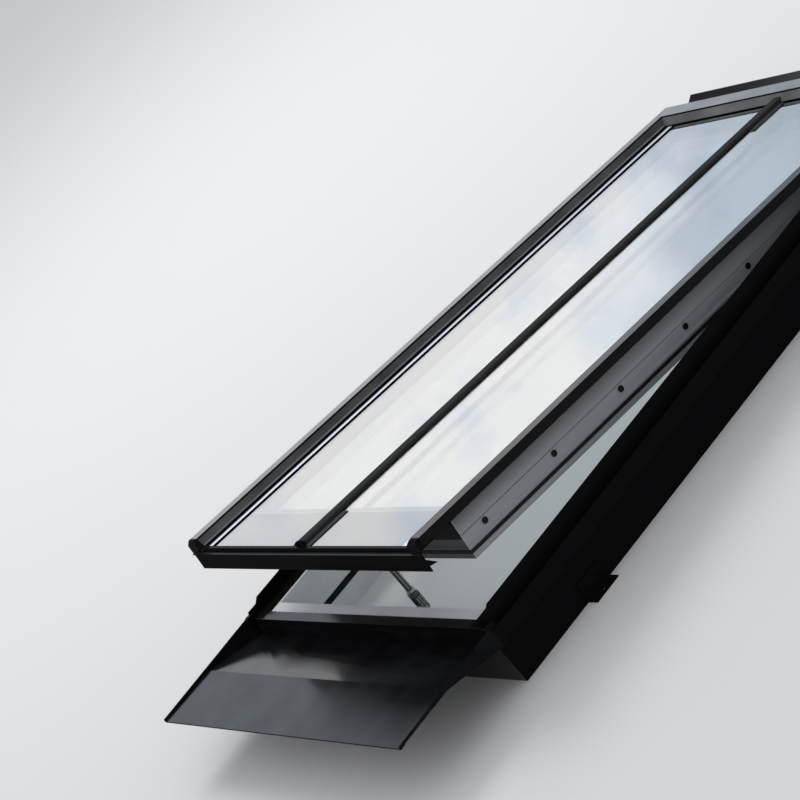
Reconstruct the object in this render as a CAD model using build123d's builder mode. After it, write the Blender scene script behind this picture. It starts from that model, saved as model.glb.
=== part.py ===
from build123d import *
from math import atan2, cos, degrees, hypot, radians, sin
import os

os.makedirs("parts", exist_ok=True)

# The skylight lies flat, as on a roof of no pitch: X runs along the eaves, Y up the slope, Z out of
# the roof. The origin is the centre of the kerb's underside. The sash is hinged at the head, and it
# stands open at rest. Places on the sash are given by x, by s, the way down from the ridge of its
# head rail, and by n, the height above that ridge along the outward normal of the glass.

# Kerb: timber members with a folded steel capping on their outer faces
base_length = 1368
base_width = 762
kerb_height = 121
side_timber = 45
front_timber = 42
head_timber = 33
sheet = 2
side_cover = 38
front_cover = 18
head_cover = 26
lip_rise = 22.6
lip_step = 7.6
lip_step_start = 24
lip_step_run = 10

# Landing seal on the lined inner faces
seal_proud = 1.2
seal_height = 12
seal_drop = 75

# Flashings: thin metal sheets that lap onto the slates
flashing = 1.5
slate_drop = 6
flashing_reach = 20
apron_length = 248
apron_flat = 125
gutter_depth = 32
welt_height = 8
hem_length = 12
head_gutter = 45
head_slope_run = 62

# Fixing brackets under the side flashings
bracket_thickness = 3
bracket_reach = 26
bracket_width = 60
bracket_height = 38
bracket_level = 0
bracket_spacing = 960
bracket_hole_r = 3.5
bracket_hole_inset = 11
screw_head_r = 5
screw_head_height = 2.2
bracket_screw_pitch = 34
screw_taper = 20

# Hinge axis, seen from the kerb and from the sash
open_angle = 6.89
hinge_overhang = 2.5
hinge_rise = 11.7
axis_s = -12
axis_n = -16
hinge_inset = 104
hinge_width = 50
hinge_plate = 3
hinge_pin_r = 3
hinge_bore_clearance = 0.3
hinge_cheek = 4
hinge_cheek_r = 7
hinge_lug_width = 9
hinge_lug_r = 6.5
hinge_lug_plate = 26
hinge_side_gap = 0.5
pin_head_r = 5
pin_head = 1.5

# Sash cap: a folded steel frame over the edges of the glass
cap_overhang = 6
cap_sheet = 2.5
cap_drop = 17
cap_reach = 15
stile_flange = 22
head_flange = 36
end_cap_length = 12
end_cap_fall = 7
end_cap_solid = 11
end_cap_wall = 4

# Glass unit, stepped so that the outer pane overhangs the front of the kerb
pane = 6
cavity = 12
spacer_width = 12
pane_side_cover = 10
pane_head_start = 8
gasket_width = 5
gasket_height = 1.5

# Front of the sash
skirt_gap = 4.5
skirt_sheet = 2
skirt_depth = 36
skirt_inset = 2
skirt_flange = 38
skirt_flange_inset = 13
bead_reach = 3
bead_fall = 1
bead_height = 4.8
tab_depth = 16
tab_top = 13
tab_tip = 30
tab_bottom = 26
tab_sheet = 1.5
trim_sheet = 4
trim_cover = 3.5
trim_height = 2.5

# Glazing bar on the outer pane
bar_width = 23
bar_height = 9
bar_chamfer = 2
foot_reach = 17.5
foot_length = 95
foot_thickness = 1.5

# Liner: the insulated frame under the glass unit
liner_gap = 4
liner_head_gap = 5.5
liner_front_setback = 54.5
liner_thickness = 20
liner_bottom = 118
liner_groove_level = 71
liner_groove = 2
liner_ridge_level = 96.5
liner_ridge = 2.5
liner_seal_level = 104
liner_seal_height = 6
liner_seal_depth = 4
liner_seal_proud = 2
liner_screw_level = 80
liner_screw_pitch = 176
liner_screw_first = 52
liner_screw_r = 5.5
liner_screw_head = 2

# Stay: an arm that holds the sash open, its fork hooked over a peg at the kerb's front
stay_n = -58
peg_reach = 66.5
peg_z = 48
peg_r = 3
peg_length = 23
peg_clearance = 0.7
keep_width = 9
keep_r = 9
keep_plate = 3
keep_plate_width = 50
keep_plate_height = 30
notch_width = 44
notch_top = 46
stay_plate = 3
stay_plate_gap = 2
stay_cheek = 3
stay_cheek_gap = 0.5
stay_eye_width = 11
stay_eye_r = 7
stay_pin_r = 3
stay_bore_clearance = 0.3
stay_tube_r = 6
stay_neck = 14
stay_neck_width = 10
fork_length = 26
fork_bridge = 8
fork_tine = 3
fork_gap = 1.5
fork_half_depth = 7
fork_slot_slope = 28.7

# Derived places on the kerb
half_length = base_length / 2
half_width = base_width / 2
flashing_half_width = half_width + flashing_reach
slate_level = kerb_height - slate_drop
gutter_level = slate_level - gutter_depth
timber_top = kerb_height - sheet
seal_level = kerb_height - seal_drop
inner_x = half_width - sheet - side_timber
front_in = -half_length + sheet + front_timber
head_in = half_length - sheet - head_timber
lip_top = kerb_height + lip_rise

# Derived places on the open sash
open_sin = sin(radians(open_angle))
open_cos = cos(radians(open_angle))
hinge_x = inner_x - hinge_inset
hinge_y = half_length + hinge_overhang
hinge_z = kerb_height + hinge_rise
ridge_y = hinge_y + axis_s * open_cos - axis_n * open_sin
ridge_z = hinge_z - axis_s * open_sin - axis_n * open_cos
cap_half_width = half_width + cap_overhang
ridge_x = cap_half_width - stile_flange
pane_top = -cap_drop
pane_bottom = pane_top - pane
unit_bottom = pane_bottom - cavity - pane
skirt_s = hinge_y + axis_s + half_length + skirt_gap
skirt_half_width = cap_half_width - skirt_inset
skirt_flange_half_width = cap_half_width - skirt_flange_inset
pane_front = skirt_s - trim_sheet - skirt_sheet
liner_x = inner_x - liner_gap
liner_head = hinge_y + axis_s - head_in + liner_head_gap
liner_front = hinge_y + axis_s - front_in - liner_front_setback
stay_s = liner_front - liner_thickness / 2
peg_y = front_in + peg_reach


def sash_point(x, s, n):
    """Place in the part's frame of a point of the open sash."""
    return (x, ridge_y - s * open_cos + n * open_sin, ridge_z + s * open_sin + n * open_cos)


def sash_level(n):
    """Plane parallel to the glass: local X across, local Y up the slope, extruding outwards."""
    return Plane(origin=sash_point(0, 0, n), x_dir=(1, 0, 0), z_dir=(0, open_sin, open_cos))


def sash_across(s):
    """Plane square to the slope: local X across, local Y outwards, extruding to the front."""
    return Plane(origin=sash_point(0, s, 0), x_dir=(1, 0, 0), z_dir=(0, -open_cos, open_sin))


def sash_along(x):
    """Plane along the slope: local X is s and local Y is n, extruding towards minus X."""
    return Plane(origin=sash_point(x, 0, 0), x_dir=(0, -open_cos, open_sin), z_dir=(-1, 0, 0))


def side_view(x):
    """Plane on the kerb seen from its side: local X is Y and local Y is Z, extruding to plus X."""
    return Plane(origin=(x, 0, 0), x_dir=(0, 1, 0), z_dir=(1, 0, 0))


def end_view(y):
    """Plane on the kerb seen from its front: local X is X and local Y is Z, extruding to minus Y."""
    return Plane(origin=(0, y, 0), x_dir=(1, 0, 0), z_dir=(0, -1, 0))


def save(piece, node):
    """Labels a finished piece with its node's name and writes it."""
    piece.part.label = node
    export_step(piece.part, f"parts/{node}.step")


# Timber kerb: the sides run the full length, with the front and head members between them
with BuildPart() as kerb_right:
    with BuildSketch(Plane.XY):
        with Locations(((inner_x + half_width - sheet) / 2, 0)):
            Rectangle(side_timber, base_length - 2 * sheet)
    extrude(amount=timber_top)

with BuildPart() as kerb_left:
    mirror(kerb_right.part, about=Plane.YZ)

with BuildPart() as kerb_front:
    with BuildSketch(Plane.XY):
        with Locations((0, front_in - front_timber / 2)):
            Rectangle(2 * inner_x, front_timber)
    extrude(amount=timber_top)

with BuildPart() as kerb_head:
    with BuildSketch(Plane.XY):
        with Locations((0, head_in + head_timber / 2)):
            Rectangle(2 * inner_x, head_timber)
    extrude(amount=timber_top)

# Side capping: the outer wall rises past the cover as a lip that stands inside the closed cap,
# and the lip steps down at the front, where the cap's end plug comes
wall_x = half_width - sheet
step_y = -half_length + lip_step_start
with BuildPart() as capping_right:
    with BuildSketch(side_view(wall_x)):
        with BuildLine():
            Polyline(
                (-half_length, 0),
                (half_length, 0),
                (half_length, lip_top),
                (step_y + lip_step_run, lip_top),
                (step_y, lip_top - lip_step),
                (-half_length, lip_top - lip_step),
                close=True,
            )
        make_face()
    extrude(amount=sheet)
    with BuildSketch(Plane.XY.offset(timber_top)):
        with Locations((wall_x - side_cover / 2, 0)):
            Rectangle(side_cover, base_length - 2 * sheet)
    extrude(amount=sheet)

with BuildPart() as capping_left:
    mirror(capping_right.part, about=Plane.YZ)

# Front and head cappings: a wall between the side cappings and a cover over the timber
with BuildPart() as capping_front:
    with BuildSketch(Plane.XY):
        with Locations((0, -half_length + sheet / 2)):
            Rectangle(2 * wall_x, sheet)
    extrude(amount=kerb_height)
    with BuildSketch(Plane.XY.offset(timber_top)):
        with Locations((0, -half_length + sheet + front_cover / 2)):
            Rectangle(2 * (wall_x - side_cover), front_cover)
    extrude(amount=sheet)

with BuildPart() as capping_head:
    with BuildSketch(Plane.XY):
        with Locations((0, half_length - sheet / 2)):
            Rectangle(2 * wall_x, sheet)
    extrude(amount=kerb_height)
    with BuildSketch(Plane.XY.offset(timber_top)):
        with Locations((0, half_length - sheet - head_cover / 2)):
            Rectangle(2 * (wall_x - side_cover), head_cover)
    extrude(amount=sheet)

# Landing seal: a low strip round the lined opening, where the liner's gasket lands; it stops
# either side of the stay's keep
with BuildPart() as landing_seal:
    with BuildSketch(Plane.XY.offset(seal_level - seal_height / 2)):
        with Locations((0, (front_in + head_in) / 2)):
            Rectangle(2 * inner_x, head_in - front_in)
            Rectangle(2 * (inner_x - seal_proud), head_in - front_in - 2 * seal_proud, mode=Mode.SUBTRACT)
        with Locations((0, front_in)):
            Rectangle(keep_plate_width, 2 * seal_height, mode=Mode.SUBTRACT)
    extrude(amount=seal_height)

# Apron flashing: up the front wall, out from its foot to the slates, then flat to a hemmed edge,
# with a wall along each side that stands a little above the slates
apron_front = -half_length - apron_length
apron_fold = apron_front + apron_flat
with BuildPart() as apron_flashing:
    with BuildSketch(side_view(0)):
        with BuildLine():
            Polyline(
                (-half_length, gutter_level),
                (apron_fold, slate_level - flashing),
                (apron_front + hem_length, slate_level - flashing),
                (apron_front + hem_length, slate_level - 2 * flashing),
                (apron_front, slate_level - 2 * flashing),
                (apron_front, slate_level),
                (apron_fold, slate_level),
                (-half_length, gutter_level + flashing),
                close=True,
            )
        make_face()
    extrude(amount=flashing_half_width, both=True)
    with BuildSketch(side_view(0)):
        with Locations((-half_length - flashing / 2, (gutter_level + slate_level - welt_height) / 2)):
            Rectangle(flashing, slate_level - welt_height - gutter_level)
    extrude(amount=half_width, both=True)
    with BuildSketch(side_view(-flashing_half_width), side_view(flashing_half_width - flashing)):
        with BuildLine():
            Polyline(
                (-half_length, gutter_level + flashing),
                (apron_fold, slate_level),
                (apron_front, slate_level),
                (apron_front, slate_level + welt_height / 2),
                (-half_length, slate_level + welt_height),
                close=True,
            )
        make_face()
    extrude(amount=flashing)

# Side flashings: a gutter along each side of the kerb
with BuildPart() as side_flashing_right:
    with BuildSketch(end_view(half_length)):
        with BuildLine():
            Polyline(
                (half_width, gutter_level),
                (flashing_half_width, gutter_level),
                (flashing_half_width, slate_level),
                (flashing_half_width - 2 * flashing, slate_level),
                (flashing_half_width - 2 * flashing, slate_level - flashing),
                (flashing_half_width - flashing, slate_level - flashing),
                (flashing_half_width - flashing, gutter_level + flashing),
                (half_width + flashing, gutter_level + flashing),
                (half_width + flashing, slate_level),
                (half_width, slate_level),
                close=True,
            )
        make_face()
    extrude(amount=base_length)

with BuildPart() as side_flashing_left:
    mirror(side_flashing_right.part, about=Plane.YZ)

# Head flashing: a gutter behind the kerb that rises to run under the slates above
gutter_end = half_length + head_gutter
with BuildPart() as head_flashing:
    with BuildSketch(side_view(0)):
        with BuildLine():
            Polyline(
                (half_length, gutter_level),
                (gutter_end, gutter_level),
                (gutter_end + head_slope_run, slate_level),
                (gutter_end + head_slope_run - flashing, slate_level + flashing),
                (gutter_end - flashing / 2, gutter_level + flashing),
                (half_length + flashing, gutter_level + flashing),
                (half_length + flashing, slate_level),
                (half_length, slate_level),
                close=True,
            )
        make_face()
    extrude(amount=flashing_half_width, both=True)

# Fixing brackets: four steel angles, each with a hole for the screw into the roof
bracket_hole_x = half_width + bracket_reach - bracket_hole_inset
with BuildPart() as fixing_brackets:
    with BuildSketch(end_view(-bracket_spacing / 2 + bracket_width / 2)):
        with BuildLine():
            Polyline(
                (half_width, bracket_level),
                (half_width + bracket_reach, bracket_level),
                (half_width + bracket_reach, bracket_level + bracket_thickness),
                (half_width + bracket_thickness, bracket_level + bracket_thickness),
                (half_width + bracket_thickness, bracket_level + bracket_height),
                (half_width, bracket_level + bracket_height),
                close=True,
            )
        make_face()
    extrude(amount=bracket_width)
    with Locations((bracket_hole_x, -bracket_spacing / 2, bracket_level + bracket_thickness)):
        Hole(bracket_hole_r, depth=bracket_thickness)
    mirror(about=Plane.XZ)
    mirror(about=Plane.YZ)

with BuildPart() as bracket_screws:
    head_face = Plane(origin=(half_width + bracket_thickness, 0, 0), x_dir=(0, 1, 0), z_dir=(1, 0, 0))
    screw_z = bracket_level + (bracket_thickness + bracket_height) / 2
    with BuildSketch(head_face):
        with Locations((-bracket_spacing / 2, screw_z)):
            with GridLocations(bracket_screw_pitch, 0, 2, 1):
                Circle(screw_head_r)
    extrude(amount=screw_head_height, taper=screw_taper)
    mirror(about=Plane.XZ)
    mirror(about=Plane.YZ)

# Hinge brackets: a plate on the head capping with two cheeks that carry the pin
cheek_in = hinge_lug_width / 2 + hinge_side_gap
cheek_out = cheek_in + hinge_cheek


def hinge_bracket(x):
    """One bracket on the kerb's head, with its cheeks either side of the sash's lug."""
    with BuildPart() as bracket:
        with BuildSketch(Plane.XY.offset(kerb_height)):
            with Locations((x, half_length - (sheet + head_cover) / 2)):
                Rectangle(hinge_width, sheet + head_cover)
        extrude(amount=hinge_plate)
        with BuildSketch(side_view(x - cheek_out), side_view(x + cheek_in)):
            with BuildLine():
                foot = kerb_height + hinge_plate
                Line((hinge_y - hinge_cheek_r, foot), (half_length, foot))
                Line((half_length, foot), (hinge_y + hinge_cheek_r, hinge_z))
                ThreePointArc(
                    (hinge_y + hinge_cheek_r, hinge_z),
                    (hinge_y, hinge_z + hinge_cheek_r),
                    (hinge_y - hinge_cheek_r, hinge_z),
                )
                Line((hinge_y - hinge_cheek_r, hinge_z), (hinge_y - hinge_cheek_r, foot))
            make_face()
            with Locations((hinge_y, hinge_z)):
                Circle(hinge_pin_r, mode=Mode.SUBTRACT)
        extrude(amount=hinge_cheek)
    return bracket


# Hinge pins: headed both ends, held in the cheeks
def hinge_pin(x):
    """One pin with its two heads against the cheeks."""
    with BuildPart() as pin:
        with BuildSketch(side_view(x - cheek_out)):
            with Locations((hinge_y, hinge_z)):
                Circle(hinge_pin_r)
        extrude(amount=2 * cheek_out)
        with BuildSketch(side_view(x - cheek_out - pin_head), side_view(x + cheek_out)):
            with Locations((hinge_y, hinge_z)):
                Circle(pin_head_r)
        extrude(amount=pin_head)
    return pin


# Hinge lugs: a plate under the head rail's flange with one lug down to the pin
def hinge_lug(x):
    """One lug of the sash, bored to turn on the pin."""
    with BuildPart() as lug:
        with BuildSketch(sash_along(x)):
            with Locations((-head_flange / 2 + cap_sheet / 2, -cap_sheet - hinge_plate / 2)):
                Rectangle(hinge_lug_plate, hinge_plate)
        extrude(amount=hinge_width / 2, both=True)
        with BuildSketch(sash_along(x)):
            with BuildLine():
                plate_n = -cap_sheet - hinge_plate
                Line((axis_s - hinge_lug_r, plate_n), (axis_s - hinge_lug_r, axis_n))
                ThreePointArc(
                    (axis_s - hinge_lug_r, axis_n),
                    (axis_s, axis_n - hinge_lug_r),
                    (axis_s + hinge_lug_r, axis_n),
                )
                Line((axis_s + hinge_lug_r, axis_n), (axis_s + hinge_lug_r, plate_n))
                Line((axis_s + hinge_lug_r, plate_n), (axis_s - hinge_lug_r, plate_n))
            make_face()
            with Locations((axis_s, axis_n)):
                Circle(hinge_pin_r + hinge_bore_clearance, mode=Mode.SUBTRACT)
        extrude(amount=hinge_lug_width / 2, both=True)
    return lug


# Stay keep: a plate on the front lining with a lug that reaches in to the peg
with BuildPart() as stay_keep:
    with BuildSketch(side_view(0)):
        with Locations((front_in + keep_plate / 2, peg_z)):
            Rectangle(keep_plate, keep_plate_height)
    extrude(amount=keep_plate_width / 2, both=True)
    with BuildSketch(side_view(0)):
        with Locations(((front_in + keep_plate + peg_y) / 2, peg_z)):
            Rectangle(peg_y - front_in - keep_plate, 2 * keep_r)
        with Locations((peg_y, peg_z)):
            Circle(keep_r)
            Circle(peg_r, mode=Mode.SUBTRACT)
    extrude(amount=keep_width / 2, both=True)

with BuildPart() as stay_peg:
    with BuildSketch(side_view(-peg_length / 2)):
        with Locations((peg_y, peg_z)):
            Circle(peg_r)
    extrude(amount=peg_length)


def cap_outline(flange):
    """Section of the cap: leg, flange and sloped face; local X grows from the ridge to the glass."""
    shift = cap_sheet * hypot(cap_reach, cap_drop) / cap_drop
    return [
        (-flange, -cap_drop),
        (-flange, 0),
        (0, 0),
        (cap_reach, -cap_drop),
        (cap_reach - shift, -cap_drop),
        (cap_sheet * cap_reach / cap_drop - shift, -cap_sheet),
        (cap_sheet - flange, -cap_sheet),
        (cap_sheet - flange, -cap_drop),
    ]


# Corner mitre of the cap: from beyond the outer corner through the ridge to inside the sloped face
mitre_over = 1.5
mitre = [
    (ridge_x + mitre_over * stile_flange, mitre_over * head_flange),
    (ridge_x, 0),
    (ridge_x - 2 * cap_reach, -2 * cap_reach),
]
stile_end = skirt_s + skirt_sheet - end_cap_length

with BuildPart() as stile_right:
    with BuildSketch(sash_across(-head_flange)):
        with BuildLine():
            Polyline([(ridge_x - u, n) for u, n in cap_outline(stile_flange)], close=True)
        make_face()
    extrude(amount=stile_end + head_flange)
    with BuildSketch(sash_level(0)):
        with BuildLine():
            Polyline(mitre + [(mitre[2][0], -stile_end), (mitre[0][0], -stile_end)], close=True)
        make_face()
    extrude(amount=-cap_drop, mode=Mode.INTERSECT)

with BuildPart() as stile_left:
    mirror(stile_right.part, about=Plane.YZ)

with BuildPart() as head_rail:
    with BuildSketch(sash_along(0)):
        with BuildLine():
            Polyline(cap_outline(head_flange), close=True)
        make_face()
    extrude(amount=cap_half_width, both=True)
    with BuildSketch(sash_level(0)):
        with BuildLine():
            Polyline(mitre + [(-x, y) for x, y in reversed(mitre)], close=True)
        make_face()
    extrude(amount=-cap_drop, mode=Mode.INTERSECT)

# End plugs of the stiles, hollowed where the kerb's lip comes when the sash is shut; a thin wall
# at the front reaches down to the skirt
with BuildPart() as stile_end_caps:
    lip_room = stile_flange - cap_sheet
    with BuildSketch(sash_across(stile_end)):
        with BuildLine():
            Polyline(
                (ridge_x + stile_flange, -cap_drop),
                (ridge_x + stile_flange, 0),
                (ridge_x, 0),
                (ridge_x - cap_reach, -cap_drop),
                (ridge_x - pane_side_cover / 2, -cap_drop),
                (ridge_x - pane_side_cover / 2, -end_cap_solid),
                (ridge_x + lip_room, -end_cap_solid),
                (ridge_x + lip_room, -cap_drop),
                close=True,
            )
        make_face()
    extrude(amount=end_cap_length)
    front_face = stile_end_caps.faces().sort_by(Axis(sash_point(0, 0, 0), (0, -open_cos, open_sin)))[-1]
    top_edge = front_face.edges().sort_by(Axis(sash_point(0, 0, 0), (0, open_sin, open_cos)))[-1]
    chamfer(top_edge, length=end_cap_fall)
    with BuildSketch(sash_across(stile_end + end_cap_length - end_cap_wall)):
        with BuildLine():
            Polyline(
                (ridge_x - pane_side_cover / 2, -end_cap_solid),
                (ridge_x + stile_flange, -end_cap_solid),
                (ridge_x + stile_flange, pane_bottom),
                (ridge_x - pane_side_cover / 2, pane_bottom),
                close=True,
            )
        make_face()
    extrude(amount=end_cap_wall)
    mirror(about=Plane.YZ)

# Glass unit
pane_half_width = ridge_x - pane_side_cover / 2
with BuildPart() as outer_pane:
    with BuildSketch(sash_level(pane_bottom)):
        with Locations((0, -(pane_head_start + pane_front) / 2)):
            Rectangle(2 * pane_half_width, pane_front - pane_head_start)
    extrude(amount=pane)

unit_length = liner_front - liner_head
unit_y = -(liner_front + liner_head) / 2
with BuildPart() as spacer_frame:
    with BuildSketch(sash_level(pane_bottom - cavity)):
        with Locations((0, unit_y)):
            Rectangle(2 * liner_x, unit_length)
            Rectangle(2 * (liner_x - spacer_width), unit_length - 2 * spacer_width, mode=Mode.SUBTRACT)
    extrude(amount=cavity)

with BuildPart() as inner_pane:
    with BuildSketch(sash_level(unit_bottom)):
        with Locations((0, unit_y)):
            Rectangle(2 * liner_x, unit_length)
    extrude(amount=pane)

# Glazing gasket at the foot of the sloped faces, open at the front
gasket_x = ridge_x - cap_reach
trim_back = pane_front - trim_cover
with BuildPart() as glazing_gasket:
    with BuildSketch(sash_level(pane_top)):
        with Locations((0, -(cap_reach + trim_back) / 2)):
            Rectangle(2 * gasket_x, trim_back - cap_reach)
        with Locations((0, -(cap_reach + gasket_width + trim_back) / 2)):
            Rectangle(
                2 * (gasket_x - gasket_width),
                trim_back - cap_reach - gasket_width,
                mode=Mode.SUBTRACT,
            )
    extrude(amount=gasket_height)

# Front trim over the edge of the outer pane
with BuildPart() as front_edge_trim:
    with BuildSketch(sash_along(0)):
        with BuildLine():
            Polyline(
                (trim_back, pane_top),
                (trim_back, pane_top + trim_height / 2),
                (trim_back + trim_height, pane_top + trim_height),
                (pane_front + trim_sheet, pane_top + trim_height),
                (pane_front + trim_sheet, pane_bottom),
                (pane_front, pane_bottom),
                (pane_front, pane_top),
                close=True,
            )
        make_face()
    extrude(amount=gasket_x, both=True)

# Drip skirt: flange under the glass, a bead along its top edge, a face over the kerb's front, and
# a pointed tab folded back at each end
skirt_top = pane_bottom
skirt_bottom = skirt_top - skirt_depth
with BuildPart() as drip_skirt:
    with BuildSketch(sash_along(0)):
        with BuildLine():
            Polyline(
                (skirt_s, skirt_top),
                (skirt_s + skirt_sheet + bead_reach, skirt_top - bead_fall),
                (skirt_s + skirt_sheet + bead_reach, skirt_top - bead_reach),
                (skirt_s + skirt_sheet, skirt_top - bead_height),
                (skirt_s + skirt_sheet, skirt_bottom),
                (skirt_s, skirt_bottom),
                close=True,
            )
        make_face()
    extrude(amount=skirt_half_width, both=True)
    with BuildSketch(sash_level(skirt_top - skirt_sheet)):
        with Locations((0, -skirt_s + skirt_flange / 2)):
            Rectangle(2 * skirt_flange_half_width, skirt_flange)
    extrude(amount=skirt_sheet)
    with BuildSketch(sash_along(skirt_half_width), sash_along(-skirt_half_width + tab_sheet)):
        with BuildLine():
            Polyline(
                (skirt_s, skirt_top - tab_top),
                (skirt_s, skirt_top - tab_bottom),
                (skirt_s - tab_depth, skirt_top - tab_tip),
                close=True,
            )
        make_face()
    extrude(amount=tab_sheet)

# Glazing bar: its head end is cut to the slope of the cap, its front end rides over the trim
bar_top = pane_top + bar_height
gasket_end = cap_reach + gasket_width
with BuildPart() as glazing_bar:
    with BuildSketch(sash_along(0)):
        with BuildLine():
            Polyline(
                (gasket_end, pane_top),
                (gasket_end, pane_top + gasket_height),
                (-cap_reach / cap_drop * (pane_top + gasket_height), pane_top + gasket_height),
                (-cap_reach / cap_drop * bar_top, bar_top),
                (pane_front - bar_chamfer, bar_top),
                (pane_front, bar_top - bar_chamfer),
                (pane_front, pane_top + trim_height),
                (trim_back, pane_top + trim_height),
                (trim_back, pane_top),
                close=True,
            )
        make_face()
    extrude(amount=bar_width / 2, both=True)
    along = Axis(sash_point(0, 0, 0), (0, -open_cos, open_sin))
    outwards = Axis(sash_point(0, 0, 0), (0, open_sin, open_cos))
    long_edges = glazing_bar.edges().filter_by(along).filter_by(lambda edge: edge.length > foot_length)
    chamfer(long_edges.sort_by(outwards)[-2:], length=bar_chamfer)

# Foot plates on the glass either side of the bar, at its head and at its front
with BuildPart() as bar_foot_plates:
    with BuildSketch(sash_level(pane_top)):
        for foot_start in (gasket_end, trim_back - foot_length):
            for side in (-1, 1):
                with Locations((side * (bar_width + foot_reach) / 2, -foot_start - foot_length / 2)):
                    Rectangle(foot_reach, foot_length)
    extrude(amount=foot_thickness)

# Liner: the outer face has a fine groove, a ridge, and the groove that holds the gasket
seal_top = -liner_seal_level + liner_seal_height / 2
seal_bottom = -liner_seal_level - liner_seal_height / 2


def liner_outline(edge, inwards):
    """Section of the liner; edge is its outer face, and inwards is the sign towards the middle."""
    def out(depth):
        return edge + inwards * depth
    return [
        (out(liner_thickness), unit_bottom),
        (out(0), unit_bottom),
        (out(0), -liner_groove_level + liner_groove / 2),
        (out(liner_groove), -liner_groove_level),
        (out(0), -liner_groove_level - liner_groove / 2),
        (out(0), -liner_ridge_level + 2 * liner_ridge),
        (out(-liner_ridge), -liner_ridge_level + liner_ridge / 2),
        (out(-liner_ridge), -liner_ridge_level - liner_ridge / 2),
        (out(0), -liner_ridge_level - liner_ridge),
        (out(0), seal_top),
        (out(liner_seal_depth), seal_top),
        (out(liner_seal_depth), seal_bottom),
        (out(0), seal_bottom),
        (out(0), -liner_bottom),
        (out(liner_thickness), -liner_bottom),
    ]


cut_margin = 1
reach = liner_ridge + cut_margin
inset = liner_thickness + cut_margin
with BuildPart() as liner_right:
    with BuildSketch(sash_across(liner_head - reach)):
        with BuildLine():
            Polyline(liner_outline(liner_x, -1), close=True)
        make_face()
    extrude(amount=unit_length + 2 * reach)
    with BuildSketch(sash_level(unit_bottom)):
        with BuildLine():
            Polyline(
                (liner_x + reach, -liner_head + reach),
                (liner_x - inset, -liner_head - inset),
                (liner_x - inset, -liner_front + inset),
                (liner_x + reach, -liner_front - reach),
                close=True,
            )
        make_face()
    extrude(amount=-liner_bottom - unit_bottom, mode=Mode.INTERSECT)

with BuildPart() as liner_left:
    mirror(liner_right.part, about=Plane.YZ)

with BuildPart() as liner_head_member:
    with BuildSketch(sash_along(0)):
        with BuildLine():
            Polyline(liner_outline(liner_head, 1), close=True)
        make_face()
    extrude(amount=liner_x + reach, both=True)
    with BuildSketch(sash_level(unit_bottom)):
        with BuildLine():
            Polyline(
                (liner_x + reach, -liner_head + reach),
                (liner_x - inset, -liner_head - inset),
                (inset - liner_x, -liner_head - inset),
                (-liner_x - reach, -liner_head + reach),
                close=True,
            )
        make_face()
    extrude(amount=-liner_bottom - unit_bottom, mode=Mode.INTERSECT)

with BuildPart() as liner_front_member:
    with BuildSketch(sash_along(0)):
        with BuildLine():
            Polyline(liner_outline(liner_front, -1), close=True)
        make_face()
    extrude(amount=liner_x + reach, both=True)
    with BuildSketch(sash_level(unit_bottom)):
        with BuildLine():
            Polyline(
                (liner_x + reach, -liner_front - reach),
                (liner_x - inset, -liner_front + inset),
                (inset - liner_x, -liner_front + inset),
                (-liner_x - reach, -liner_front - reach),
                close=True,
            )
        make_face()
    extrude(amount=-liner_bottom - unit_bottom, mode=Mode.INTERSECT)
    with BuildSketch(sash_level(-liner_bottom)):
        with Locations((0, -liner_front + liner_thickness / 2)):
            Rectangle(notch_width, liner_thickness + 2 * reach)
    extrude(amount=liner_bottom - notch_top, mode=Mode.SUBTRACT)

# Gasket in the liner's groove, all round but for the stay's notch
seal_out = liner_seal_proud
seal_in = liner_seal_depth
with BuildPart() as liner_gasket:
    with BuildSketch(sash_level(seal_bottom)):
        with Locations((0, unit_y)):
            Rectangle(2 * (liner_x + seal_out), unit_length + 2 * seal_out)
            Rectangle(2 * (liner_x - seal_in), unit_length - 2 * seal_in, mode=Mode.SUBTRACT)
        with Locations((0, -liner_front)):
            Rectangle(notch_width, 4 * seal_in, mode=Mode.SUBTRACT)
    extrude(amount=liner_seal_height)

# Screws along the sides of the liner, as many as its length takes
liner_screw_count = int((unit_length - 2 * liner_screw_first) / liner_screw_pitch) + 1
with BuildPart() as liner_screws:
    screw_face = Plane(
        origin=sash_point(liner_x, 0, 0), x_dir=(0, open_cos, -open_sin), z_dir=(1, 0, 0)
    )
    with BuildSketch(screw_face):
        for index in range(liner_screw_count):
            along_side = -liner_front + liner_screw_first + index * liner_screw_pitch
            with Locations((along_side, -liner_screw_level)):
                Circle(liner_screw_r)
    extrude(amount=liner_screw_head, taper=screw_taper)
    mirror(about=Plane.YZ)

# Stay bracket: a plate in the top of the notch with two cheeks for the stay's pin
stay_cheek_in = stay_eye_width / 2 + stay_cheek_gap
stay_cheek_out = stay_cheek_in + stay_cheek
with BuildPart() as stay_bracket:
    with BuildSketch(sash_along(0)):
        with Locations((stay_s, -notch_top - stay_plate / 2)):
            Rectangle(liner_thickness - stay_plate_gap, stay_plate)
    extrude(amount=notch_width / 2 - stay_plate_gap, both=True)
    with BuildSketch(sash_along(stay_cheek_out), sash_along(-stay_cheek_in)):
        with Locations((stay_s, (stay_n - notch_top - stay_plate) / 2)):
            Rectangle(2 * stay_eye_r, -notch_top - stay_plate - stay_n)
        with Locations((stay_s, stay_n)):
            Circle(stay_eye_r)
            Circle(stay_pin_r, mode=Mode.SUBTRACT)
    extrude(amount=stay_cheek)

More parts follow.
